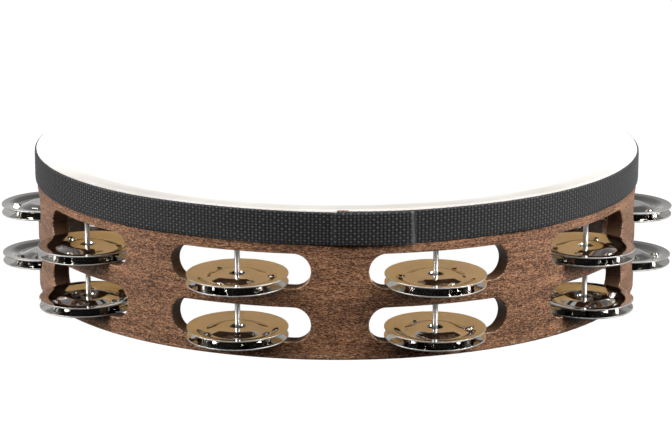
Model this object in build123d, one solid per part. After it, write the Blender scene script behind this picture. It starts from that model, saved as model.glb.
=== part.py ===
from build123d import *
from math import cos, degrees, radians, sin
import os

# A fixed-head double-row tambourine, 10 inch class. Millimetres.
# The origin is the middle of the bottom rim, +Z runs up to the drum head,
# and the joint in the head's tape is at the front, on the -Y side.
# Every jingle is at rest on the floor of its slot.

# ---- wooden shell ----
SHELL_R = 127.0          # outer radius
SHELL_WALL = 7.0         # wall thickness
BOTTOM_WEB = 6.9         # wood under the low row of slots
SLOT_H = 13.7            # height of one slot
MID_WEB = 7.55           # wood between the two rows
TOP_WEB = 17.3           # wood between the high row and the head
SLOT_SIDE_ROOM = 8.9     # from a jingle's rim to the slot's end, round the outer face
SLOT_SHIFT = 1.4         # how far the slots are set off from their pins, round the outer face
BEARING_EDGE_R = 1.2     # rounding of the two top edges, under the head
RIM_EDGE_R = 0.6         # rounding of the two bottom edges
SLOT_EDGE_R = 0.5        # softened edge round each slot, outside and inside
COLUMNS = 10             # jingle positions round the shell

# ---- drum head and its tape ----
FILM = 0.25              # head film thickness
SKIRT = 12.0             # film glued down the outside of the shell
TAPE_WIDTH = 13.0
TAPE_THICKNESS = 0.7
TAPE_DROP = 0.45         # tape's top edge below the head's playing face
LAP_LENGTH = 30.0        # how far the tape's end laps over its start
LAP_RAMP = 2.5           # length over which the outer layer climbs

# ---- jingle pins ----
PIN_R = 1.05
PIN_HEAD_R = 2.0
PIN_HEAD_H = 0.9
PIN_BITE = 9.0           # how far a pin goes into the top web
PIN_TIP = 1.2            # height of its blunt point
PIN_RECESS = 1.0         # depth of the pin head's face below the bottom rim
COUNTERBORE_GAP = 0.1    # round the pin head

# ---- jingles ----
JINGLE_R = 19.75
JINGLE_SHEET = 0.5       # sheet thickness
JINGLE_DEPTH = 1.45      # from the rim to the ridge that the pair touches on
RIDGE_R = 12.8           # middle of that ridge
RIDGE_WIDTH = 1.0        # its flat top
FLANGE_BEND_R = 16.2     # where the flange turns up towards the ridge
FLANGE_RISE = 0.28       # rise of the flange from the rim to that bend
BELL_R = 7.6             # the level middle, inside the ridge
BELL_DEPTH = 1.25        # how far the middle lies behind the ridge
DISH_BEND = 3.0          # radius of every bend in the pressed sheet
HOLE_R = 1.6
LEAN = 1.6               # degrees that a resting jingle leans outwards
SEAT_GAP = 0.10          # lowest point of a resting jingle above its slot's floor
PAIR_GAP = 0.06          # between the two ridges of a pair
TOP_GAP = 0.20           # between a raised pair and its slot's ceiling

# ---- worked out from the sizes above ----
SHELL_H = BOTTOM_WEB + 2 * SLOT_H + MID_WEB + TOP_WEB
OVERALL_H = SHELL_H + FILM
SHELL_BORE_R = SHELL_R - SHELL_WALL
PIN_CIRCLE_R = SHELL_R - SHELL_WALL / 2
COLUMN_STEP = 360 / COLUMNS
HEAD_R = SHELL_R + FILM
TAPE_R = HEAD_R + TAPE_THICKNESS
SLOT_LENGTH = 2 * (JINGLE_R + SLOT_SIDE_ROOM)
JINGLE_H = JINGLE_DEPTH + JINGLE_SHEET
PAIR_STACK = 2 * JINGLE_H + PAIR_GAP
ROWS = {"low": BOTTOM_WEB, "high": BOTTOM_WEB + SLOT_H + MID_WEB}
COLUMN_ANGLES = [COLUMN_STEP * (i + 0.5) for i in range(COLUMNS)]
SLOT_TURN = degrees(SLOT_SHIFT / SHELL_R)


def around(shape, angle):
    """Turn a shape made at the front, on -Y, towards +X by an angle in degrees."""
    return shape.rotate(Axis.Z, angle)


def ring_sector(inner, outer, low, high, start, sweep):
    """A block of a ring from one angle, counted from -Y, over a sweep in degrees."""
    section = Plane.XZ * Pos((inner + outer) / 2, (low + high) / 2) * Rectangle(
        outer - inner, high - low
    )
    return revolve(section, Axis.Z, sweep).rotate(Axis.Z, start - 90)


def shell_blank():
    """The bent and glued hoop before it is slotted, with its four edges rounded."""
    section = Plane.XZ * Pos(SHELL_R - SHELL_WALL / 2, SHELL_H / 2) * Rectangle(
        SHELL_WALL, SHELL_H
    )
    corners = section.vertices().sort_by(Axis.Z)
    section = fillet(corners[:2], RIM_EDGE_R)
    section = fillet(section.vertices().sort_by(Axis.Z)[-2:], BEARING_EDGE_R)
    return revolve(section, Axis.Z)


def slot_cutter(floor):
    """One round-ended slot at the front, its ends cut square to the shell's face."""
    end_r = SLOT_H / 2
    half_angle = degrees((SLOT_LENGTH / 2 - end_r) / SHELL_R)
    inner = SHELL_BORE_R - SHELL_WALL
    outer = SHELL_R + SHELL_WALL
    middle = ring_sector(inner, outer, floor, floor + SLOT_H, -half_angle, 2 * half_angle)
    end = Pos(0, -inner, floor + end_r) * Rot(90, 0, 0) * Cylinder(
        end_r, outer - inner, align=(Align.CENTER, Align.CENTER, Align.MIN)
    )
    return middle + around(end, -half_angle) + around(end, half_angle)


def slot_edges(solid, radius):
    """The edges that the slots leave on the shell's face of the given radius."""
    found = []
    for edge in solid.edges():
        box = edge.bounding_box()
        if box.min.Z < BOTTOM_WEB - 0.01 or box.max.Z > SHELL_H - TOP_WEB + 0.01:
            continue
        points = [edge @ t for t in (0.0, 0.5, 1.0)]
        if all(abs((p.X ** 2 + p.Y ** 2) ** 0.5 - radius) < 0.01 for p in points):
            found.append(edge)
    return found


def pin_hole():
    """The drilling for one pin: counterbore, through both rows, blind in the top web."""
    bore = Cylinder(
        PIN_R, SHELL_H - TOP_WEB + PIN_BITE, align=(Align.CENTER, Align.CENTER, Align.MIN)
    )
    seat = Cylinder(
        PIN_HEAD_R + COUNTERBORE_GAP,
        PIN_RECESS + PIN_HEAD_H,
        align=(Align.CENTER, Align.CENTER, Align.MIN),
    )
    return Pos(0, -PIN_CIRCLE_R, 0) * (bore + seat)


def make_shell():
    shell = shell_blank()
    for angle in COLUMN_ANGLES:
        for floor in ROWS.values():
            shell -= around(slot_cutter(floor), angle + SLOT_TURN)
    for radius in (SHELL_R, SHELL_BORE_R):
        shell = fillet(slot_edges(shell, radius), SLOT_EDGE_R)
    for angle in COLUMN_ANGLES:
        shell -= around(pin_hole(), angle)
    return shell


def make_drum_head():
    """Film stretched over the top rim, turned down and glued to the outside."""
    top = SHELL_H
    hem = SHELL_H - SKIRT
    bend_in = BEARING_EDGE_R
    bend_out = BEARING_EDGE_R + FILM
    bend_z = top - BEARING_EDGE_R
    bend_r = SHELL_R - BEARING_EDGE_R
    with BuildPart() as head:
        with BuildSketch(Plane.XZ):
            with BuildLine():
                Line((0, top), (bend_r, top))
                CenterArc((bend_r, bend_z), bend_in, 0, 90)
                Line((SHELL_R, bend_z), (SHELL_R, hem))
                Line((SHELL_R, hem), (HEAD_R, hem))
                Line((HEAD_R, hem), (HEAD_R, bend_z))
                CenterArc((bend_r, bend_z), bend_out, 0, 90)
                Line((bend_r, top + FILM), (0, top + FILM))
                Line((0, top + FILM), (0, top))
            make_face()
        revolve(axis=Axis.Z)
    return head.part


def make_head_tape():
    """Webbing glued round the head's skirt, its end lapped over its start in front."""
    high = OVERALL_H - TAPE_DROP
    low = high - TAPE_WIDTH
    lap = degrees(LAP_LENGTH / TAPE_R)
    ramp = degrees(LAP_RAMP / TAPE_R)
    band = ring_sector(HEAD_R, TAPE_R, low, high, 0, 360)
    second = ring_sector(TAPE_R, TAPE_R + TAPE_THICKNESS, low, high, 0, lap)
    inside = TAPE_R - TAPE_THICKNESS / 2
    wedge_points = [
        (-inside * sin(radians(ramp)), -inside * cos(radians(ramp))),
        (-TAPE_R * sin(radians(ramp)), -TAPE_R * cos(radians(ramp))),
        (0, -TAPE_R - TAPE_THICKNESS),
        (0, -inside),
    ]
    wedge = extrude(Plane.XY.offset(low) * make_face(Polyline(*wedge_points, close=True)), TAPE_WIDTH)
    return band + second + wedge


def make_pin():
    """One steel pin at the front, its head in the counterbore of the bottom rim."""
    foot = PIN_RECESS
    shoulder = PIN_RECESS + PIN_HEAD_H
    tip = SHELL_H - TOP_WEB + PIN_BITE
    outline = [
        (0, foot),
        (PIN_HEAD_R, foot),
        (PIN_HEAD_R, shoulder),
        (PIN_R, shoulder),
        (PIN_R, tip - PIN_TIP),
        (PIN_R / 2, tip),
        (0, tip),
    ]
    section = Plane.XZ * make_face(Polyline(*outline, close=True))
    return Pos(0, -PIN_CIRCLE_R, 0) * revolve(section, Axis.Z)


def make_dish():
    """One jingle about Z, rim down on Z = 0, its ridge up and its middle let down again."""
    middle_z = JINGLE_DEPTH - BELL_DEPTH
    under = [
        (JINGLE_R, 0),
        (FLANGE_BEND_R, FLANGE_RISE),
        (RIDGE_R + RIDGE_WIDTH / 2, JINGLE_DEPTH),
        (RIDGE_R - RIDGE_WIDTH / 2, JINGLE_DEPTH),
        (BELL_R, middle_z),
        (HOLE_R, middle_z),
    ]
    over = [(r, z + JINGLE_SHEET) for r, z in under]
    section = make_face(Polyline(*under, *reversed(over), close=True))
    for r, z in under[1:-1] + over[1:-1]:
        corner = section.vertices().sort_by_distance((r, z, 0))[0]
        section = fillet(corner, DISH_BEND)
    return revolve(Plane.XZ * section, Axis.Z)


def rim_offset(radius):
    """How far outside the pin a resting jingle's rim crosses a face of the shell."""
    return radius - PIN_CIRCLE_R - JINGLE_R ** 2 / (2 * SHELL_R)


def lean_height(radius):
    """Drop of a leaning rim, from its level at the pin, where it crosses that face."""
    return rim_offset(radius) * sin(radians(LEAN))


def jingle_pair(floor):
    """The two jingles of one pair at the front, ridge to ridge with their rims outside."""
    dish = make_dish()
    flipped = Pos(0, 0, PAIR_STACK) * dish.rotate(Axis.X, 180)
    base = floor + SEAT_GAP + lean_height(SHELL_R)
    place = Pos(0, -PIN_CIRCLE_R, base) * Rot(LEAN, 0, 0)
    return {"bottom": place * dish, "top": place * flipped}


def pair_travel():
    """How far a pair can be lifted up its pin before it meets the slot's ceiling."""
    lean_room = lean_height(SHELL_R) - lean_height(SHELL_BORE_R)
    return SLOT_H - PAIR_STACK - SEAT_GAP - TOP_GAP - lean_room


def save(shape, node):
    solids = shape.solids()
    if len(solids) != 1:
        raise ValueError(f"{node} has {len(solids)} solids")
    solid = solids[0]
    solid.label = node
    export_step(solid, f"parts/{node}.step")


def main():
    os.makedirs("parts", exist_ok=True)
    save(make_shell(), "shell")
    save(make_drum_head(), "drum_head")
    save(make_head_tape(), "head_tape")
    pin = make_pin()
    for number, angle in enumerate(COLUMN_ANGLES, 1):
        save(around(pin, angle), f"pin_{number:02d}")
    for row, floor in ROWS.items():
        pair = jingle_pair(floor)
        for number, angle in enumerate(COLUMN_ANGLES, 1):
            for place, jingle in pair.items():
                save(around(jingle, angle), f"jingle_{row}_{number:02d}_{place}")
    print(f"overall height {OVERALL_H:.2f}, free travel of a pair {pair_travel():.2f}")


main()
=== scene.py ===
import math
import random

import bpy
import numpy as np
from mathutils import Matrix, Vector


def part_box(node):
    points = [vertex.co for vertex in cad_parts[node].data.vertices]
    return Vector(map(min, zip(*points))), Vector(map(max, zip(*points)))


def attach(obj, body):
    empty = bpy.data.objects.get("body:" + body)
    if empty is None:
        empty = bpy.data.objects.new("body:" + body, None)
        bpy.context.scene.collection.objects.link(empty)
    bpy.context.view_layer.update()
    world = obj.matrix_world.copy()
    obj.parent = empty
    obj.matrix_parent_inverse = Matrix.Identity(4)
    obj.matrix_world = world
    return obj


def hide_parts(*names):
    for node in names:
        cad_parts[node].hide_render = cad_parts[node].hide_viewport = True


bl_info = {
    "name": "Double-row tambourine",
    "version": (1, 0, 0),
    "blender": (4, 5, 0),
    "location": "3D View > Sidebar > Tambourine",
    "description": "Finishes, woven tape and pressed steel jingles for a wooden tambourine",
    "category": "Add Mesh",
}

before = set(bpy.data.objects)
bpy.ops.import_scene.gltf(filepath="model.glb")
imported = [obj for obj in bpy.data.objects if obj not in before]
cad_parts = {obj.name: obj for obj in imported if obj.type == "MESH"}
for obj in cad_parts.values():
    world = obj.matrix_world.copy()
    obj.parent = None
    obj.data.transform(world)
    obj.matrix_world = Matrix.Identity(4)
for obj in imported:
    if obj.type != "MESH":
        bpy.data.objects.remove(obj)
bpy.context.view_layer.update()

MM = 0.001
FULL_TURN = 2 * math.pi
HEAD_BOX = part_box("drum_head")
SHELL_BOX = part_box("shell")
PIN_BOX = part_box("pin_01")
HEAD_RADIUS = HEAD_BOX[1].x
HEAD_TOP = HEAD_BOX[1].z
SHELL_RADIUS = SHELL_BOX[1].x
JINGLE_NODES = sorted(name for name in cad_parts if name.startswith("jingle_"))
COLUMN_COUNT = len([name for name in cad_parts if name.startswith("pin_")])
PIN_MIDDLE = (PIN_BOX[0] + PIN_BOX[1]) / 2
PIN_CIRCLE = math.hypot(PIN_MIDDLE.x, PIN_MIDDLE.y)


# ---------------------------------------------------------------------------
# Sizes and colours that a user would change
# ---------------------------------------------------------------------------

def length(name, description, default):
    """A length property, in metres."""
    return bpy.props.FloatProperty(
        name=name, description=description, default=default, unit="LENGTH", precision=5
    )


def angle(name, description, degrees):
    """An angle property, kept in radians."""
    return bpy.props.FloatProperty(
        name=name, description=description, default=math.radians(degrees), unit="ROTATION"
    )


def number(name, description, default):
    """A plain number without a unit."""
    return bpy.props.FloatProperty(name=name, description=description, default=default)


def colour(name, description, default):
    """A linear colour."""
    return bpy.props.FloatVectorProperty(
        name=name, description=description, default=default, size=3, min=0, max=1, subtype="COLOR"
    )


class WoodSettings(bpy.types.PropertyGroup):
    """The stained wood of the shell."""

    dark: colour("Dark stain", "Stain in the deepest grain", (0.012, 0.0052, 0.0027))
    middle: colour("Middle stain", "Stain over most of the face", (0.090, 0.0385, 0.0178))
    light: colour("Light stain", "Stain on the palest streaks", (0.33, 0.168, 0.088))
    cut: colour("Cut wood", "Stained end grain in the slots", (0.125, 0.062, 0.032))
    bare: colour("Worn edge", "Wood where the stain is rubbed off", (0.52, 0.36, 0.25))
    streak_length: length("Streak length", "Length of one fine grain streak", 0.0013)
    streak_width: length("Streak width", "Height of one fine grain streak", 0.00024)
    ply: length("Ply thickness", "One layer of the bent hoop", 0.0012)


class HeadSettings(bpy.types.PropertyGroup):
    """The translucent film of the drum head."""

    film: colour("Film", "Outside of the film", (0.93, 0.915, 0.88))
    # Ring: film over the wall, partly its own colour over the wood and partly painted shade, used in full in
    # front.
    ring: colour("Ring", "Film over the wall of the shell", (0.29, 0.277, 0.262))
    glow: colour("Glow", "Light that comes through the film", (1.0, 0.745, 0.36))
    passing: number("Light let through", "Share of the light that goes into the film", 0.24)


class TapeSettings(bpy.types.PropertyGroup):
    """The woven tape round the head's skirt."""

    width: length("Tape width", "Width of the webbing", 0.013)
    thickness: length("Tape thickness", "One layer of the webbing", 0.0007)
    drop: length("Drop", "Tape's top edge below the playing face", 0.00055)
    lap: length("Lap", "How far the tape's end laps over its start", 0.030)
    ramp: length("Ramp", "Length over which the end climbs onto the start", 0.0025)
    skew: length("Skew", "How far the cut end leans over the tape's width", 0.0008)
    rib: length("Rib", "Distance between two ribs along the tape", 0.00145)
    relief: length("Relief", "Height of a yarn's crown over the gaps", 0.00042)
    seal: length("Seal", "Length of the heat-sealed end", 0.0016)
    yarn: colour("Yarn", "Black yarn on its crowns", (0.057, 0.058, 0.060))
    # Gap shade: painted shade, the near-black colour that stands for the shadow in the low gaps between the
    # yarns.
    gap: colour("Gap", "Between the yarns", (0.0010, 0.0010, 0.0010))
    fused: colour("Fused yarn", "The melted and greyed end", (0.075, 0.075, 0.075))
    rows: bpy.props.IntProperty(name="Rows", description="Yarn rows across the tape", default=12)


class JingleSettings(bpy.types.PropertyGroup):
    """The pressed steel jingles."""

    rim: length("Rim", "Radius of the whole jingle", 0.01975)
    sheet: length("Sheet", "Thickness of the steel", 0.0005)
    depth: length("Depth", "From the rim to the ridge", 0.00145)
    ridge: length("Ridge", "Radius of the middle of the ridge", 0.0128)
    ridge_flat: length("Ridge width", "Flat top of the ridge", 0.001)
    flange_bend: length("Flange bend", "Radius where the flange turns up", 0.0162)
    flange_rise: length("Flange rise", "From the rim to that bend", 0.00028)
    bell: length("Bell", "Radius of the level middle", 0.0079)
    bell_depth: length("Bell depth", "Middle behind the ridge", 0.00138)
    softness: length("Bend softness", "Half the length of a rounded bend", 0.00055)
    hole: length("Hole", "Radius of the pin hole", 0.0016)
    sink: length("Sink", "Depth of the ring pressed round the hole", 0.00095)
    sink_radius: length("Sink radius", "Outside of that ring", 0.0031)
    lean: angle("Lean", "How far a resting jingle leans outwards", 1.6)
    pair_gap: length("Pair gap", "Between the two ridges of a pair", 0.00006)
    dimple_ring: length("Dimple ring", "Radius that the punch marks lie on", 0.0132)
    dimple: length("Dimple", "Radius of one punch mark", 0.0018)
    dimple_depth: length("Dimple depth", "Depth of one punch mark", 0.0011)
    corner: length("Corner", "Rounding of the two corners of the rim", 0.00010)
    mark: length("Mark", "Depth of the stamped bars", 0.00013)
    wobble: length("Wobble", "Unevenness of a rim", 0.00005)
    steel: colour("Steel", "Polished steel", (0.70, 0.685, 0.66))


class StageSettings(bpy.types.PropertyGroup):
    """Camera, floor and lights."""

    eye_back: length("Camera distance", "Camera in front of the middle", 1.0929)
    eye_up: length("Camera height", "Camera above the bottom rim", 0.2935)
    pitch: angle("Pitch", "Camera turned down", 13.84)
    roll: angle("Roll", "Camera turned about its own axis", 0.15)
    yaw: angle("Yaw", "Camera turned to the left", 0.013)
    lens: number("Lens", "Focal length in millimetres", 140.6)
    surround: number("Surround", "Brightness of the dark studio in front", 0.015)
    backdrop: number("Backdrop", "Brightness of the studio behind the tambourine", 0.40)


class TambourineSettings(bpy.types.PropertyGroup):
    """Everything above, in one place."""

    wood: bpy.props.PointerProperty(type=WoodSettings)
    head: bpy.props.PointerProperty(type=HeadSettings)
    tape: bpy.props.PointerProperty(type=TapeSettings)
    jingle: bpy.props.PointerProperty(type=JingleSettings)
    stage: bpy.props.PointerProperty(type=StageSettings)


# ---------------------------------------------------------------------------
# Shader graphs
# ---------------------------------------------------------------------------

class Signal:
    """An output socket whose arithmetic adds Math nodes to its graph."""

    def __init__(self, graph, socket):
        self.graph = graph
        self.socket = socket

    def __add__(self, other):
        return self.graph.math("ADD", self, other)

    def __radd__(self, other):
        return self.graph.math("ADD", other, self)

    def __sub__(self, other):
        return self.graph.math("SUBTRACT", self, other)

    def __rsub__(self, other):
        return self.graph.math("SUBTRACT", other, self)

    def __mul__(self, other):
        return self.graph.math("MULTIPLY", self, other)

    def __rmul__(self, other):
        return self.graph.math("MULTIPLY", other, self)

    def __truediv__(self, other):
        return self.graph.math("DIVIDE", self, other)

    def __rtruediv__(self, other):
        return self.graph.math("DIVIDE", other, self)

    def __neg__(self):
        return self.graph.math("MULTIPLY", self, -1)


class Graph:
    """Adds nodes to one node tree."""

    def __init__(self, tree):
        self.tree = tree
        tree.nodes.clear()

    def node(self, kind, settings=None, inputs=None, output=0):
        """A node of a type, its settings first and then its sockets."""
        made = self.tree.nodes.new(kind)
        for key, value in (settings or {}).items():
            if key == "stops":
                self.set_stops(made.color_ramp, value)
            else:
                setattr(made, key, value)
        for key, value in (inputs or {}).items():
            self.feed(made.inputs[key], value)
        if isinstance(output, tuple):
            return [Signal(self, made.outputs[name]) for name in output]
        return Signal(self, made.outputs[output]) if made.outputs else None

    def feed(self, socket, value):
        """Link a signal to a socket, or set the socket's own value."""
        if isinstance(value, Signal):
            self.tree.links.new(value.socket, socket)
        elif isinstance(value, (int, float, bool)):
            socket.default_value = value
        else:
            size = len(socket.default_value)
            socket.default_value = (*tuple(value), 1.0)[:size]

    def set_stops(self, ramp, stops):
        """Give a colour ramp its stops, each a position and a colour."""
        while len(ramp.elements) < len(stops):
            ramp.elements.new(1.0)
        for element, (position, shade) in zip(ramp.elements, stops):
            element.position = position
            element.color = (*shade, 1.0)

    def math(self, operation, *values):
        return self.node("ShaderNodeMath", {"operation": operation}, dict(enumerate(values)))

    def vector(self, *values):
        return self.node("ShaderNodeCombineXYZ", inputs=dict(enumerate(values)))

    def split(self, value):
        return self.node("ShaderNodeSeparateXYZ", inputs={0: value}, output=("X", "Y", "Z"))

    def blend(self, factor, first, second):
        """A colour between two, by a factor from 0 to 1."""
        settings = {"data_type": "RGBA", "clamp_factor": True}
        inputs = {0: factor, 6: first, 7: second}
        return self.node("ShaderNodeMix", settings, inputs, 2)

    def tint(self, shade, by):
        """A colour made darker or lighter by a number."""
        return self.node("ShaderNodeVectorMath", {"operation": "SCALE"}, {0: shade, "Scale": by})

    def step(self, value, low, high, from_value=0.0, to_value=1.0):
        """A smooth step from one value to another between low and high."""
        inputs = {
            "Value": value, "From Min": low, "From Max": high, "To Min": from_value, "To Max": to_value,
        }
        return self.node("ShaderNodeMapRange", {"interpolation_type": "SMOOTHSTEP"}, inputs)

    def noise(self, place, detail=3.0, rough=0.55):
        inputs = {"Vector": place, "Scale": 1.0, "Detail": detail, "Roughness": rough}
        return self.node("ShaderNodeTexNoise", inputs=inputs)

    def ramp(self, factor, stops):
        return self.node("ShaderNodeValToRGB", {"stops": stops}, {0: factor})

    def bump(self, height, distance, strength=1.0):
        """A normal from a height of 0 to 1 over a distance in metres."""
        inputs = {"Height": height, "Distance": distance, "Strength": strength}
        return self.node("ShaderNodeBump", inputs=inputs)

    def finish(self, shader, kind="ShaderNodeOutputMaterial"):
        self.node(kind, inputs={"Surface": shader})


def new_material(name):
    """A material and the graph that fills it."""
    material = bpy.data.materials.new(name)
    material.use_nodes = True
    return material, Graph(material.node_tree)


def dress(obj, material):
    """Give a whole object one material."""
    obj.data.materials.clear()
    obj.data.materials.append(material)


def round_place(graph):
    """Along the hoop, height and distance from the axis, in millimetres, and the raw position."""
    place = graph.node("ShaderNodeTexCoord", output="Object")
    x, y, z = graph.split(place)
    along = graph.math("ARCTAN2", x, -y) * (SHELL_RADIUS / MM)
    from_axis = graph.math("SQRT", x * x + y * y) / MM
    return along, z / MM, from_axis, (x, y, z)


# ---------------------------------------------------------------------------
# Shell
# ---------------------------------------------------------------------------

# In millimetres: where the two rows of slots begin and end, and where the hoop's scarf joint meets the floor
SLOTS_FROM = 6.7
SLOTS_TO = 42.2
SCARF_AT = 12
SCARF_SLOPE = 0.45


def wood_material(wood):
    """Stained walnut face, darker layered end grain in the slots, rubbed slot edges and painted shade on the
    inside of the hoop.
    """
    material, g = new_material("walnut_stain")
    along, up, from_axis, (x, y, z) = round_place(g)
    long_step = wood.streak_length / MM
    high_step = wood.streak_width / MM

    bands = g.noise(g.vector(along / 55, up / 5.5, from_axis / 3), 3)
    figure = g.noise(g.vector(along / 17, up / 1.7, 3.1), 3, 0.6)
    streaks = g.noise(g.vector(along / long_step, up / high_step, from_axis / 2), 4, 0.65)
    flecks = g.noise(g.vector(along / 0.75, up / 0.19, 8.4), 2, 0.7)
    pores = g.noise(g.vector(along / 3.1, up / 0.22, 5.7), 1, 0.4)
    pore = g.step(pores, 0.62, 0.73)
    grain = bands * 0.50 + figure * 0.60 + streaks * 2.60 + flecks * 2.80 - 2.77
    face = g.ramp(grain, [(0.10, wood.dark), (0.50, wood.middle), (0.95, wood.light)])
    face = g.tint(face, 1 - pore * 0.55)

    layer = g.math("FRACT", from_axis / (wood.ply / MM) + g.noise(g.vector(along / 9, up / 9, 0)) * 0.25)
    glue = g.step(g.math("ABSOLUTE", layer - 0.5), 0.0, 0.10, 1.0, 0.0)
    fibres = g.noise(g.vector(along / 0.5, up / 0.5, from_axis / 0.35), 3)
    cut = g.blend(fibres * 0.9 - 0.12, wood.dark, wood.cut)
    cut = g.tint(cut, 1.25 - glue * 0.75)

    normal = g.node("ShaderNodeTexCoord", output="Normal")
    nx, ny, nz = g.split(normal)
    outward = (nx * x + ny * y) / (from_axis * MM)
    facing = g.math("ABSOLUTE", outward)
    on_face = g.step(facing, 0.25, 0.75)
    shade = g.blend(on_face, cut, face)

    edge = g.step(facing, 0.10, 0.35) * g.step(facing, 0.80, 0.96, 1.0, 0.0)
    over_floor = g.step(up, SLOTS_FROM - 0.3, SLOTS_FROM + 0.3)
    in_rows = over_floor * g.step(up, SLOTS_TO - 0.3, SLOTS_TO + 0.3, 1.0, 0.0)
    scratch = g.noise(g.vector(x / MM / 1.3, y / MM / 1.3, up / 0.9), 3, 0.7)
    worn = edge * in_rows * g.step(scratch, 0.47, 0.60)
    shade = g.blend(worn * 0.6, shade, wood.bare)

    low_edge = g.step(up, 0.3, 0.9) * g.step(up, 1.8, 2.6, 1.0, 0.0)
    dashes = low_edge * g.step(g.noise(g.vector(along / 4.5, up / 0.5, 2.2), 2), 0.60, 0.68)
    shade = g.blend(dashes * 0.55, shade, wood.bare)

    # Painted shade: the inside of the hoop is darkened to 55 percent of its stain.
    inside = g.step(outward, -0.9, -0.6, 1.0, 0.0)
    shade = g.tint(shade, 1 - inside * 0.45)
    off_scarf = g.math("ABSOLUTE", x / MM + up * SCARF_SLOPE - SCARF_AT)
    seam = g.step(off_scarf, 0.08, 0.22, 1.0, 0.0) * g.step(y, 0.0, 0.01)
    shade = g.tint(shade, 1 - seam * 0.7)

    gloss = 0.40 + streaks * 0.22 + pore * 0.2 + worn * 0.15
    relief = streaks * 0.45 + flecks * 0.35 + figure * 0.35 - pore * 0.8 - seam * 1.2
    bump = g.bump(relief, 0.00022, 0.9)
    shader = g.node("ShaderNodeBsdfPrincipled", inputs={
        "Base Color": shade, "Roughness": gloss, "Normal": bump, "Specular IOR Level": 0.20,
    })
    g.finish(shader)
    return material


class TAMBOURINE_OT_shell(bpy.types.Operator):
    """Stain the bent and slotted hoop."""

    bl_idname = "tambourine.shell"
    bl_label = "Stain the shell"

    def execute(self, context):
        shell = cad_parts["shell"]
        dress(shell, wood_material(context.scene.tambourine.wood))
        return {"FINISHED"}


# ---------------------------------------------------------------------------
# Drum head
# ---------------------------------------------------------------------------

# Distances from the axis, in millimetres, between which the film darkens over the wall, partly as film over
# wood and partly as painted shade
RING_FROM = 112.0
RING_TO = 120.5


def film_material(head):
    """White film that glows warm where light comes through it, and is greyer over the wall: partly the film
    over the wood, partly painted shade that is strongest in front.
    """
    material, g = new_material("head_film")
    along, up, from_axis, (x, y, z) = round_place(g)
    # Painted shade: the ring colour is used in full in front and fades to 0.15 of it at the back.
    rim = g.step(from_axis, RING_FROM, RING_TO) * g.step(y, -0.09, 0.05, 1.0, 0.15)
    cloud = g.noise(g.vector(x / MM / 31, y / MM / 31, 1.0), 4)
    shade = g.blend(rim * (0.8 + cloud * 0.3), head.film, head.ring)
    grain = g.noise(g.vector(x / MM / 0.6, y / MM / 0.6, up / 0.6), 3)
    bump = g.bump(grain, 0.00003, 0.5)
    film = g.node("ShaderNodeBsdfPrincipled", inputs={
        "Base Color": shade, "Roughness": 0.34 + grain * 0.2, "Normal": bump,
    })
    glow = g.node("ShaderNodeBsdfTranslucent", inputs={"Color": head.glow})
    g.finish(g.node("ShaderNodeMixShader", inputs={0: head.passing, 1: film, 2: glow}))
    return material


class TAMBOURINE_OT_head(bpy.types.Operator):
    """Finish the film of the drum head."""

    bl_idname = "tambourine.head"
    bl_label = "Finish the head"

    def execute(self, context):
        dress(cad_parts["drum_head"], film_material(context.scene.tambourine.head))
        return {"FINISHED"}


# ---------------------------------------------------------------------------
# Pins
# ---------------------------------------------------------------------------

def pin_material():
    """Bright drawn steel wire."""
    material, g = new_material("pin_steel")
    place = g.node("ShaderNodeTexCoord", output="Object")
    x, y, z = g.split(place)
    draw = g.noise(g.vector(x / 0.0004, y / 0.0004, z / 0.02), 1)
    shade = g.blend(draw, (0.56, 0.54, 0.52), (0.72, 0.70, 0.68))
    shader = g.node("ShaderNodeBsdfPrincipled", inputs={
        "Base Color": shade, "Metallic": 1.0, "Roughness": 0.24 + draw * 0.08,
    })
    g.finish(shader)
    return material


class TAMBOURINE_OT_pins(bpy.types.Operator):
    """Finish the steel pins."""

    bl_idname = "tambourine.pins"
    bl_label = "Finish the pins"

    def execute(self, context):
        material = pin_material()
        for name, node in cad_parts.items():
            if name.startswith("pin_"):
                dress(node, material)
        return {"FINISHED"}


# ---------------------------------------------------------------------------
# Mesh building
# ---------------------------------------------------------------------------

def grid_quads(rows, columns, closed_rows=False, closed_columns=False):
    """Vertex numbers of the quads of a grid that is stored row by row."""
    row = np.arange(rows if closed_rows else rows - 1)[:, None]
    column = np.arange(columns if closed_columns else columns - 1)[None, :]
    next_row = (row + 1) % rows
    next_column = (column + 1) % columns
    corners = [
        row * columns + column,
        row * columns + next_column,
        next_row * columns + next_column,
        next_row * columns + column,
    ]
    return np.stack(corners, -1).reshape(-1, 4)


def quad_mesh(name, points, quads):
    """A smooth mesh from an array of points and an array of quads."""
    mesh = bpy.data.meshes.new(name)
    mesh.vertices.add(len(points))
    mesh.vertices.foreach_set("co", points.astype(np.float32).ravel())
    mesh.loops.add(quads.size)
    mesh.loops.foreach_set("vertex_index", quads.astype(np.int32).ravel())
    mesh.polygons.add(len(quads))
    mesh.polygons.foreach_set("loop_start", np.arange(0, quads.size, 4, dtype=np.int32))
    mesh.update(calc_edges=True)
    mesh.shade_smooth()
    return mesh


def link(name, mesh):
    obj = bpy.data.objects.new(name, mesh)
    bpy.context.scene.collection.objects.link(obj)
    return obj


def smooth(value):
    """A smooth step of an array from 0 to 1."""
    value = np.clip(value, 0, 1)
    return value * value * (3 - 2 * value)


# ---------------------------------------------------------------------------
# Tape
# ---------------------------------------------------------------------------

# Mesh points to a yarn, along and across the tape
SAMPLES_ALONG = 4
SAMPLES_ACROSS = 3
# Between the tape and the film's skirt
GLUE_GAP = 0.00003
# Share of a turn from the tape's start, and how far its edges lie above their mean there, in millimetres
EDGE_WANDER = (
    (0.0, 0.17), (0.03, -0.08), (0.06, 0.12), (0.12, 0.0), (0.20, -0.05), (0.30, -0.25), (0.75, -0.25),
    (0.84, -0.26), (0.89, -0.12), (0.92, 0.17), (0.95, 0.18), (0.975, -0.06), (1.0, -0.28), (1.04, -0.32),
)


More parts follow.
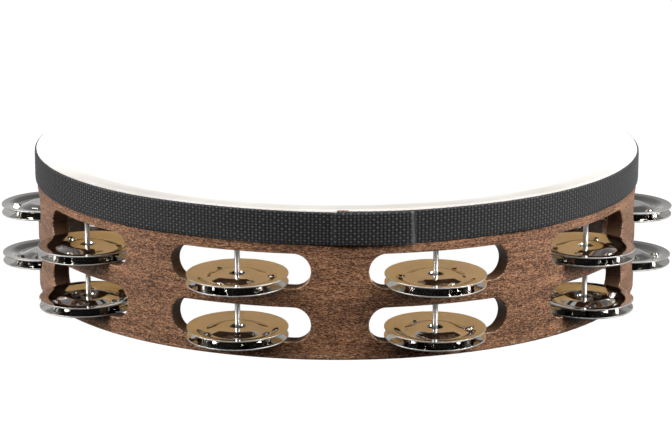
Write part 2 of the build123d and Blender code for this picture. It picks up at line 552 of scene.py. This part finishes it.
def weave_height(along, across):
    """Height from 0 to 1 of a plain weave whose yarns are one unit apart."""
    number_across = np.rint(across)
    off_row = across - number_across
    along = along + 0.22 * off_row
    number_along = np.rint(along)
    ridge = np.cos(math.pi * (along - number_along)) ** 2
    row = np.cos(math.pi * off_row) ** 2
    over = np.mod(number_along + number_across, 2)
    uneven = 0.10 * np.sin(12.99 * number_along + 78.2 * number_across + 3 * np.sin(2.3 * number_along))
    return row * (0.06 + ridge * (0.74 + 0.42 * over + uneven))


def edge_wander(turn):
    """How far the tape's edges wander up at a share of a turn."""
    at, up = zip(*EDGE_WANDER)
    shifts = np.linspace(-0.012, 0.012, 7)
    return np.mean([np.interp(turn + shift, at, up) for shift in shifts], axis=0) * MM


def tape_mesh(tape):
    """One long woven strip: once round the skirt and its end lapped over its start."""
    inner = HEAD_RADIUS
    circle = FULL_TURN * (inner + tape.thickness)
    total = circle + tape.lap
    yarns = round(total / tape.rib)
    columns = yarns * SAMPLES_ALONG + 1
    rows = tape.rows * SAMPLES_ACROSS + 1
    run = np.linspace(0, total, columns)[None, :]
    across = np.linspace(0, 1, rows)[:, None]
    height = weave_height(run / total * yarns, across * tape.rows - 0.5)

    sealed = smooth((run - total + tape.seal) / (0.5 * tape.seal))
    roughcast = 0.5 + 0.5 * np.sin(run * 5200 + 9 * np.sin(across * 23)) * np.sin(across * 61 + run * 3100)
    height = height * (1 - sealed) + sealed * (0.35 + 0.3 * roughcast)

    climb = smooth((run - circle + tape.ramp) / tape.ramp)
    edge = np.sin(math.pi * np.clip(across * tape.rows, 0, 1) / 2) * np.sin(
        math.pi * np.clip((1 - across) * tape.rows, 0, 1) / 2
    )
    floor = inner + GLUE_GAP + climb * tape.thickness
    body = tape.thickness - tape.relief
    outer = floor + body * (0.35 + 0.65 * edge) + tape.relief * height * (0.45 + 0.55 * edge) - GLUE_GAP
    ragged = sealed * 0.00022 * np.sin(across * 47) * np.sin(across * 19 + 1.3)
    ragged = ragged + sealed * tape.skew * (0.5 - across)
    theta = (run + ragged) / circle * FULL_TURN
    scallop = np.cos(FULL_TURN * run / total * yarns / 2) * 0.00010
    side = np.where(across < 0.5, -1.0, 1.0) * (1 - edge)
    top = HEAD_TOP - tape.drop + edge_wander(run / circle)
    z = top - tape.width * (1 - across) + side * scallop
    front = np.stack([outer * np.sin(theta), -outer * np.cos(theta), z + 0 * run], -1)

    back_rows = np.array([1.0, 0.0])[:, None]
    back_z = top - tape.width * (1 - back_rows)
    back_r = floor + 0 * back_rows
    back_theta = run / circle * FULL_TURN + 0 * back_rows
    back = np.stack([back_r * np.sin(back_theta), -back_r * np.cos(back_theta), back_z], -1)

    points = np.concatenate([front, back]).reshape(-1, 3)
    all_rows = rows + len(back_rows)
    quads = grid_quads(all_rows, columns, closed_rows=True)
    ends = []
    for column, order in ((0, 1), (columns - 1, -1)):
        loop = [row * columns + column for row in range(all_rows)]
        half = (all_rows - 1) // 2
        for k in range(half):
            quad = [loop[k], loop[k + 1], loop[-2 - k], loop[-1 - k]]
            ends.append(quad[::-order])
    quads = np.concatenate([quads, np.array(ends)])
    mesh = quad_mesh("woven_tape", points, quads)
    crown = np.concatenate([height + 0 * across, np.zeros(back_rows.shape) + 0 * run]).ravel()
    fused = np.concatenate([sealed + 0 * across, np.zeros(back_rows.shape) + 0 * run]).ravel()
    for name, values in (("crown", crown), ("fused", fused)):
        attribute = mesh.attributes.new(name, "FLOAT", "POINT")
        attribute.data.foreach_set("value", values.astype(np.float32))
    return mesh


def tape_material(tape):
    """Black polyester yarn with painted shade in the gaps between its crowns, and a greyed, melted end."""
    material, g = new_material("black_webbing")
    crown = g.node("ShaderNodeAttribute", {"attribute_name": "crown"}, output="Fac")
    fused = g.node("ShaderNodeAttribute", {"attribute_name": "fused"}, output="Fac")
    along, up, from_axis, place = round_place(g)
    fibres = g.noise(g.vector(along / 0.9, up / 0.11, from_axis / 0.2), 2, 0.6)
    worn = g.noise(g.vector(along / 14, up / 3.0, 4.2), 3)
    yarn = g.tint(tape.yarn, 0.30 + fibres * 0.8 + worn * 0.6)
    # Painted shade: the colour falls from the yarn colour on the crowns to the gap shade in the low gaps.
    shade = g.blend(g.step(crown, 0.22, 0.92), tape.gap, yarn)
    shade = g.blend(fused * (0.35 + fibres * 0.8), shade, tape.fused)
    shader = g.node("ShaderNodeBsdfPrincipled", inputs={
        "Base Color": shade, "Roughness": 0.60 - fused * 0.15 + fibres * 0.15,
        "Normal": g.bump(fibres, 0.00005, 0.7), "Specular IOR Level": 0.30,
    })
    g.finish(shader)
    return material


class TAMBOURINE_OT_tape(bpy.types.Operator):
    """Weave the tape round the head."""

    bl_idname = "tambourine.tape"
    bl_label = "Weave the tape"

    def execute(self, context):
        tape = context.scene.tambourine.tape
        obj = link("woven_tape", tape_mesh(tape))
        dress(obj, tape_material(tape))
        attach(obj, "frame")
        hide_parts("head_tape")
        return {"FINISHED"}


# ---------------------------------------------------------------------------
# Jingles
# ---------------------------------------------------------------------------

DIMPLE_ANGLES = [math.radians(a) for a in (0, 120, 240)]
BAR_ANGLES = [math.radians(a) for a in (60, 300)]
DOT_ANGLES = [math.radians(180)]
BAR_RING = 0.0109
DOT_RING = 0.0111
DOT_RADIUS = 0.00032
# Radii between which the mesh is fine: on the hollow side, and on the far side of the sheet
HOLLOW_DETAIL = ((0.0022, 0.0033), (0.0098, 0.0146))
FAR_DETAIL = ((0.0120, 0.0146),)
# Half the angle round a mark in which the mesh is fine
MARK_DETAIL = 0.15
# How far a punch mark lies to the right of the front on some of the jingles, in degrees
TURNED = {
    "high_10_top": -30, "high_01_top": 28, "low_10_top": 60, "low_01_top": -24,
    "high_09_top": -29, "low_09_top": -62, "high_02_top": 40, "low_02_top": 0,
}
BARS = (-0.0012, -0.0006, 0.0, 0.0006, 0.0012)


def graded(windows, start, stop, coarse, fine):
    """Places from start to stop, close together inside the windows and wide apart elsewhere."""
    places = [start]
    while places[-1] < stop:
        here = places[-1]
        inside = any(low <= here < high for low, high in windows)
        following = here + (fine if inside else coarse)
        starts = [low for low, high in windows if here < low < following]
        places.append(min([following, *starts]))
    places[-1] = stop
    return np.array(places)


def sheet_height(radius, jingle):
    """Height of the pressed sheet's hollow side over its rim, with every bend rounded."""
    middle = jingle.depth - jingle.bell_depth
    half_flat = jingle.ridge_flat / 2
    corners = [
        (0, middle),
        (jingle.bell, middle),
        (jingle.ridge - half_flat, jingle.depth),
        (jingle.ridge + half_flat, jingle.depth),
        (jingle.flange_bend, jingle.flange_rise),
        (jingle.rim, 0),
    ]
    at, heights = zip(*corners)
    shifts = np.linspace(-1, 1, 9) * jingle.softness
    return np.mean([np.interp(radius + shift, at, heights) for shift in shifts], axis=0)


def punched(radius, theta, jingle):
    """Depth of the round punch marks."""
    ball = (jingle.dimple ** 2 + jingle.dimple_depth ** 2) / (2 * jingle.dimple_depth)
    total = 0 * (radius + theta)
    for middle in DIMPLE_ANGLES:
        side = radius * np.sin(theta - middle)
        out = radius * np.cos(theta - middle) - jingle.dimple_ring
        cap = np.sqrt(np.maximum(ball ** 2 - side ** 2 - out ** 2, 0)) - (ball - jingle.dimple_depth)
        total = total + np.maximum(cap, 0)
    return total


def stamped(radius, theta, jingle):
    """Depth of the plain bars and dots that are stamped beside the ridge."""
    total = 0 * (radius + theta)
    for middle in BAR_ANGLES:
        side = radius * np.sin(theta - middle)
        out = radius * np.cos(theta - middle) - BAR_RING
        for bar in BARS:
            width = smooth(1.9 - np.abs(side - bar) / 0.00011)
            total = total + width * smooth(4.2 - np.abs(out) / 0.00019)
    for middle in DOT_ANGLES:
        for bar in BARS[::2]:
            side = radius * np.sin(theta - middle) - bar
            out = radius * np.cos(theta - middle) - DOT_RING
            distance = np.sqrt(side ** 2 + out ** 2)
            total = total + smooth(2.0 - np.abs(distance - DOT_RADIUS) / 0.00010)
    return total * jingle.mark


def jingle_mesh(name, jingle, seed, place):
    """One jingle, made about Z with its rim down on Z = 0 and then put in its place."""
    chance = random.Random(seed)
    fine_angles = []
    for middle in DIMPLE_ANGLES + BAR_ANGLES + DOT_ANGLES:
        start = (middle - MARK_DETAIL) % FULL_TURN
        fine_angles.append((start, start + 2 * MARK_DETAIL))
    fine_angles += [(low - FULL_TURN, high - FULL_TURN) for low, high in fine_angles]
    theta = graded(fine_angles, 0, FULL_TURN, math.radians(3), math.radians(0.75))[:-1]
    flat_end = jingle.rim - jingle.corner
    low_side = graded(HOLLOW_DETAIL, jingle.hole, flat_end, 0.0006, 0.00016)
    high_side = graded(FAR_DETAIL, jingle.hole, flat_end, 0.0008, 0.0004)[::-1]
    turn = np.radians([-67.5, -45, -22.5, 0, 0, 22.5, 45, 67.5])
    middle_z = np.where(np.arange(8) < 4, jingle.corner, jingle.sheet - jingle.corner)
    edge_r = flat_end + jingle.corner * np.cos(turn)
    edge_z = middle_z + jingle.corner * np.sin(turn)
    flat_z = sheet_height(np.array([flat_end]), jingle)[0]

    def pressed(radius):
        radius = radius[:, None]
        sink = jingle.sink * smooth((jingle.sink_radius - radius) / 0.00045)
        return sheet_height(radius, jingle) + sink, punched(radius, theta[None, :], jingle)

    low_z, low_dimple = pressed(low_side)
    high_z, high_dimple = pressed(high_side)
    low = low_z - low_dimple + stamped(low_side[:, None], theta[None, :], jingle)
    high = high_z + jingle.sheet - high_dimple
    edge = flat_z + edge_z[:, None] + 0 * theta[None, :]
    radii = np.concatenate([low_side, edge_r, high_side])[:, None]
    z = np.concatenate([low, edge, high])

    phases = [chance.uniform(0, FULL_TURN) for _ in range(3)]
    share = smooth((radii - jingle.ridge) / (jingle.rim - jingle.ridge))
    waves = np.cos(2 * theta + phases[0]) + 0.6 * np.cos(3 * theta + phases[1])
    waves = waves + 0.35 * np.cos(5 * theta + phases[2])
    z = z + jingle.wobble * share * waves[None, :] / 1.95
    x = radii * np.cos(theta)[None, :]
    y = radii * np.sin(theta)[None, :]
    local = np.stack([x, y, z], -1).reshape(-1, 3)
    matrix = np.array(place)
    points = local @ matrix[:3, :3].T + matrix[:3, 3]
    quads = grid_quads(len(radii), len(theta), closed_rows=True, closed_columns=True)
    mesh = quad_mesh(name, points, quads[:, ::-1])
    attribute = mesh.attributes.new("pressed", "FLOAT_VECTOR", "POINT")
    attribute.data.foreach_set("vector", local.astype(np.float32).ravel())
    return mesh


def jingle_material(jingle):
    """Polished steel with fine turned scratches, a few smears and painted shade in the pressed ring round
    the hole.
    """
    material, g = new_material("jingle_steel")
    place = g.node("ShaderNodeAttribute", {"attribute_name": "pressed"}, output="Vector")
    x, y, z = g.split(place)
    from_axis = g.math("SQRT", x * x + y * y) / MM
    turned = g.noise(g.vector(from_axis / 0.16, g.math("ARCTAN2", x, y) * 0.6, 0), 3, 0.7)
    smear = g.noise(g.vector(x / MM / 5, y / MM / 5, 0), 4)
    hairs = g.noise(g.vector(x / MM / 0.25, y / MM / 3.5, 0.0), 3, 0.6)
    # Painted shade: the steel in the pressed ring round the hole is darkened to about 0.15 of its colour,
    # standing in for its dark reflection.
    seat = g.step(from_axis, 2.85, 3.15, 1.0, 0.0)
    shade = g.tint(jingle.steel, 0.94 + smear * 0.12 - seat * 0.85)
    sheared = g.step(from_axis, jingle.rim / MM - 0.10, jingle.rim / MM - 0.02)
    shade = g.tint(shade, 1 - sheared * 0.38)
    relief = turned * 0.6 + hairs * 0.4
    dull = 0.035 + g.step(smear, 0.45, 0.75) * 0.07 + g.step(hairs, 0.6, 0.8) * 0.05 + sheared * 0.4
    shader = g.node("ShaderNodeBsdfPrincipled", inputs={
        "Base Color": shade, "Metallic": 1.0, "Roughness": dull, "Normal": g.bump(relief, 0.000012, 0.35),
    })
    g.finish(shader)
    return material


def column_angle(number_in_ring):
    """Angle of a column of jingles, from the front towards the right."""
    return FULL_TURN * (number_in_ring - 0.5) / COLUMN_COUNT


def jingle_place(node, jingle, spin):
    """Where one jingle rests, with its own turn about its pin."""
    row, count, place = node.split("_")[1:]
    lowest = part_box(f"jingle_{row}_{count}_bottom")[0].z
    base = lowest + jingle.rim * math.sin(jingle.lean)
    around = Matrix.Rotation(column_angle(int(count)), 4, "Z")
    seat = Matrix.Translation((0, -PIN_CIRCLE, base)) @ Matrix.Rotation(jingle.lean, 4, "X")
    turned = Matrix.Rotation(spin, 4, "Z")
    if place == "top":
        stack = 2 * (jingle.depth + jingle.sheet) + jingle.pair_gap
        turned = Matrix.Translation((0, 0, stack)) @ Matrix.Rotation(math.pi, 4, "X") @ turned
    return around @ seat @ turned


class TAMBOURINE_OT_jingles(bpy.types.Operator):
    """Press the steel jingles and hang them on their pins."""

    bl_idname = "tambourine.jingles"
    bl_label = "Press the jingles"

    def execute(self, context):
        jingle = context.scene.tambourine.jingle
        material = jingle_material(jingle)
        chance = random.Random(12)
        for seed, node in enumerate(JINGLE_NODES):
            spin = chance.uniform(0, FULL_TURN)
            row_count_place = node.split("_", 1)[1]
            if row_count_place in TURNED:
                turn = column_angle(int(node.split("_")[2])) + math.pi / 2
                spin = turn - math.radians(TURNED[row_count_place])
            name = node.replace("jingle", "pressed_jingle")
            place = jingle_place(node, jingle, spin)
            obj = link(name, jingle_mesh(name, jingle, seed, place))
            dress(obj, material)
            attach(obj, node)
            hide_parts(node)
        return {"FINISHED"}


# ---------------------------------------------------------------------------
# Stage
# ---------------------------------------------------------------------------

# Half the floor's width, and how far it lies under the bottom rim
FLOOR_REACH = 30.0
FLOOR_GAP = 0.0004


def soft_box(name, bearing, height_angle, distance, size, power):
    """A rectangular light that faces the tambourine, its bearing in degrees from the front to the right."""
    data = bpy.data.lights.new(name, "AREA")
    data.shape = "RECTANGLE"
    data.size, data.size_y = size
    data.energy = power
    obj = bpy.data.objects.new(name, data)
    bpy.context.scene.collection.objects.link(obj)
    bearing, height_angle = math.radians(bearing), math.radians(height_angle)
    flat = math.cos(height_angle)
    way = Vector((math.sin(bearing) * flat, -math.cos(bearing) * flat, math.sin(height_angle)))
    obj.location = way * distance + Vector((0, 0, HEAD_TOP / 2))
    obj.rotation_euler = way.to_track_quat("Z", "Y").to_euler()
    return obj


def floor_material():
    """A lit white sweep that takes only a trace of shadow."""
    material, g = new_material("white_floor")
    base = g.node("ShaderNodeBsdfDiffuse", inputs={"Color": (0.9, 0.9, 0.9)})
    lit = g.node("ShaderNodeEmission", inputs={"Color": (1, 1, 1), "Strength": 1.03})
    g.finish(g.node("ShaderNodeMixShader", inputs={0: 0.97, 1: base, 2: lit}))
    return material


class TAMBOURINE_OT_stage(bpy.types.Operator):
    """Set up the floor, the lights and the camera."""

    bl_idname = "tambourine.stage"
    bl_label = "Set the stage"

    def execute(self, context):
        stage = context.scene.tambourine.stage
        mesh = bpy.data.meshes.new("floor")
        corners = [(x * FLOOR_REACH, y * FLOOR_REACH, 0) for x, y in ((-1, -1), (1, -1), (1, 1), (-1, 1))]
        mesh.from_pydata(corners, [], [(0, 1, 2, 3)])
        floor = link("floor", mesh)
        floor.location.z = -FLOOR_GAP
        dress(floor, floor_material())
        floor.visible_diffuse = False
        floor.visible_glossy = False
        floor.visible_transmission = False

        soft_box("top_box", 0, 88, 1.15, (1.5, 1.2), 34)
        soft_box("right_box", 68, 26, 1.25, (0.45, 0.75), 34)
        soft_box("left_box", -68, 24, 1.25, (0.45, 0.75), 27)
        soft_box("front_box", 6, 38, 1.7, (1.0, 0.5), 6)
        soft_box("left_edge_box", -122, 10, 1.4, (0.30, 0.90), 2.5)
        soft_box("right_edge_box", 122, 10, 1.4, (0.30, 0.90), 8)

        world = bpy.data.worlds.new("studio")
        world.use_nodes = True
        g = Graph(world.node_tree)
        camera_ray = g.node("ShaderNodeLightPath", output="Is Camera Ray")
        x, y, z = g.split(g.node("ShaderNodeTexCoord", output="Generated"))
        haze = g.step(z, 0.02, 0.55, 1.25, 0.35) * g.step(x, -0.5, 0.4, 1.5, 0.9)
        glow = g.step(y, 0.1, 0.85, stage.surround, stage.backdrop) * haze
        dark = g.node("ShaderNodeBackground", inputs={"Color": (1, 1, 1), "Strength": glow})
        white = g.node("ShaderNodeBackground", inputs={"Color": (1, 1, 1), "Strength": 1.0})
        sky = g.node("ShaderNodeMixShader", inputs={0: camera_ray, 1: dark, 2: white})
        g.finish(sky, "ShaderNodeOutputWorld")
        context.scene.world = world

        data = bpy.data.cameras.new("camera")
        data.lens = stage.lens
        data.sensor_width = 36
        data.clip_start = 0.05
        data.clip_end = 100
        camera = bpy.data.objects.new("camera", data)
        context.scene.collection.objects.link(camera)
        tilt = Matrix.Rotation(math.pi / 2 - stage.pitch, 4, "X")
        look = Matrix.Rotation(stage.yaw, 4, "Z") @ tilt @ Matrix.Rotation(stage.roll, 4, "Z")
        camera.matrix_world = Matrix.Translation((0, -stage.eye_back, stage.eye_up)) @ look
        context.scene.camera = camera
        context.scene.view_settings.view_transform = "Standard"
        return {"FINISHED"}


# ---------------------------------------------------------------------------
# Add-on
# ---------------------------------------------------------------------------

OPERATORS = (
    TAMBOURINE_OT_stage,
    TAMBOURINE_OT_shell,
    TAMBOURINE_OT_head,
    TAMBOURINE_OT_pins,
    TAMBOURINE_OT_tape,
    TAMBOURINE_OT_jingles,
)


class TAMBOURINE_PT_panel(bpy.types.Panel):
    """Lists the steps that build the tambourine."""

    bl_idname = "TAMBOURINE_PT_panel"
    bl_label = "Tambourine"
    bl_space_type = "VIEW_3D"
    bl_region_type = "UI"
    bl_category = "Tambourine"

    def draw(self, context):
        for operator in OPERATORS:
            self.layout.operator(operator.bl_idname)


CLASSES = (
    WoodSettings,
    HeadSettings,
    TapeSettings,
    JingleSettings,
    StageSettings,
    TambourineSettings,
    *OPERATORS,
    TAMBOURINE_PT_panel,
)


def register():
    for item in CLASSES:
        bpy.utils.register_class(item)
    bpy.types.Scene.tambourine = bpy.props.PointerProperty(type=TambourineSettings)


def unregister():
    del bpy.types.Scene.tambourine
    for item in reversed(CLASSES):
        bpy.utils.unregister_class(item)


def main():
    register()
    bpy.ops.tambourine.stage()
    bpy.ops.tambourine.shell()
    bpy.ops.tambourine.head()
    bpy.ops.tambourine.pins()
    bpy.ops.tambourine.tape()
    bpy.ops.tambourine.jingles()


if __name__ == "__main__":
    main()
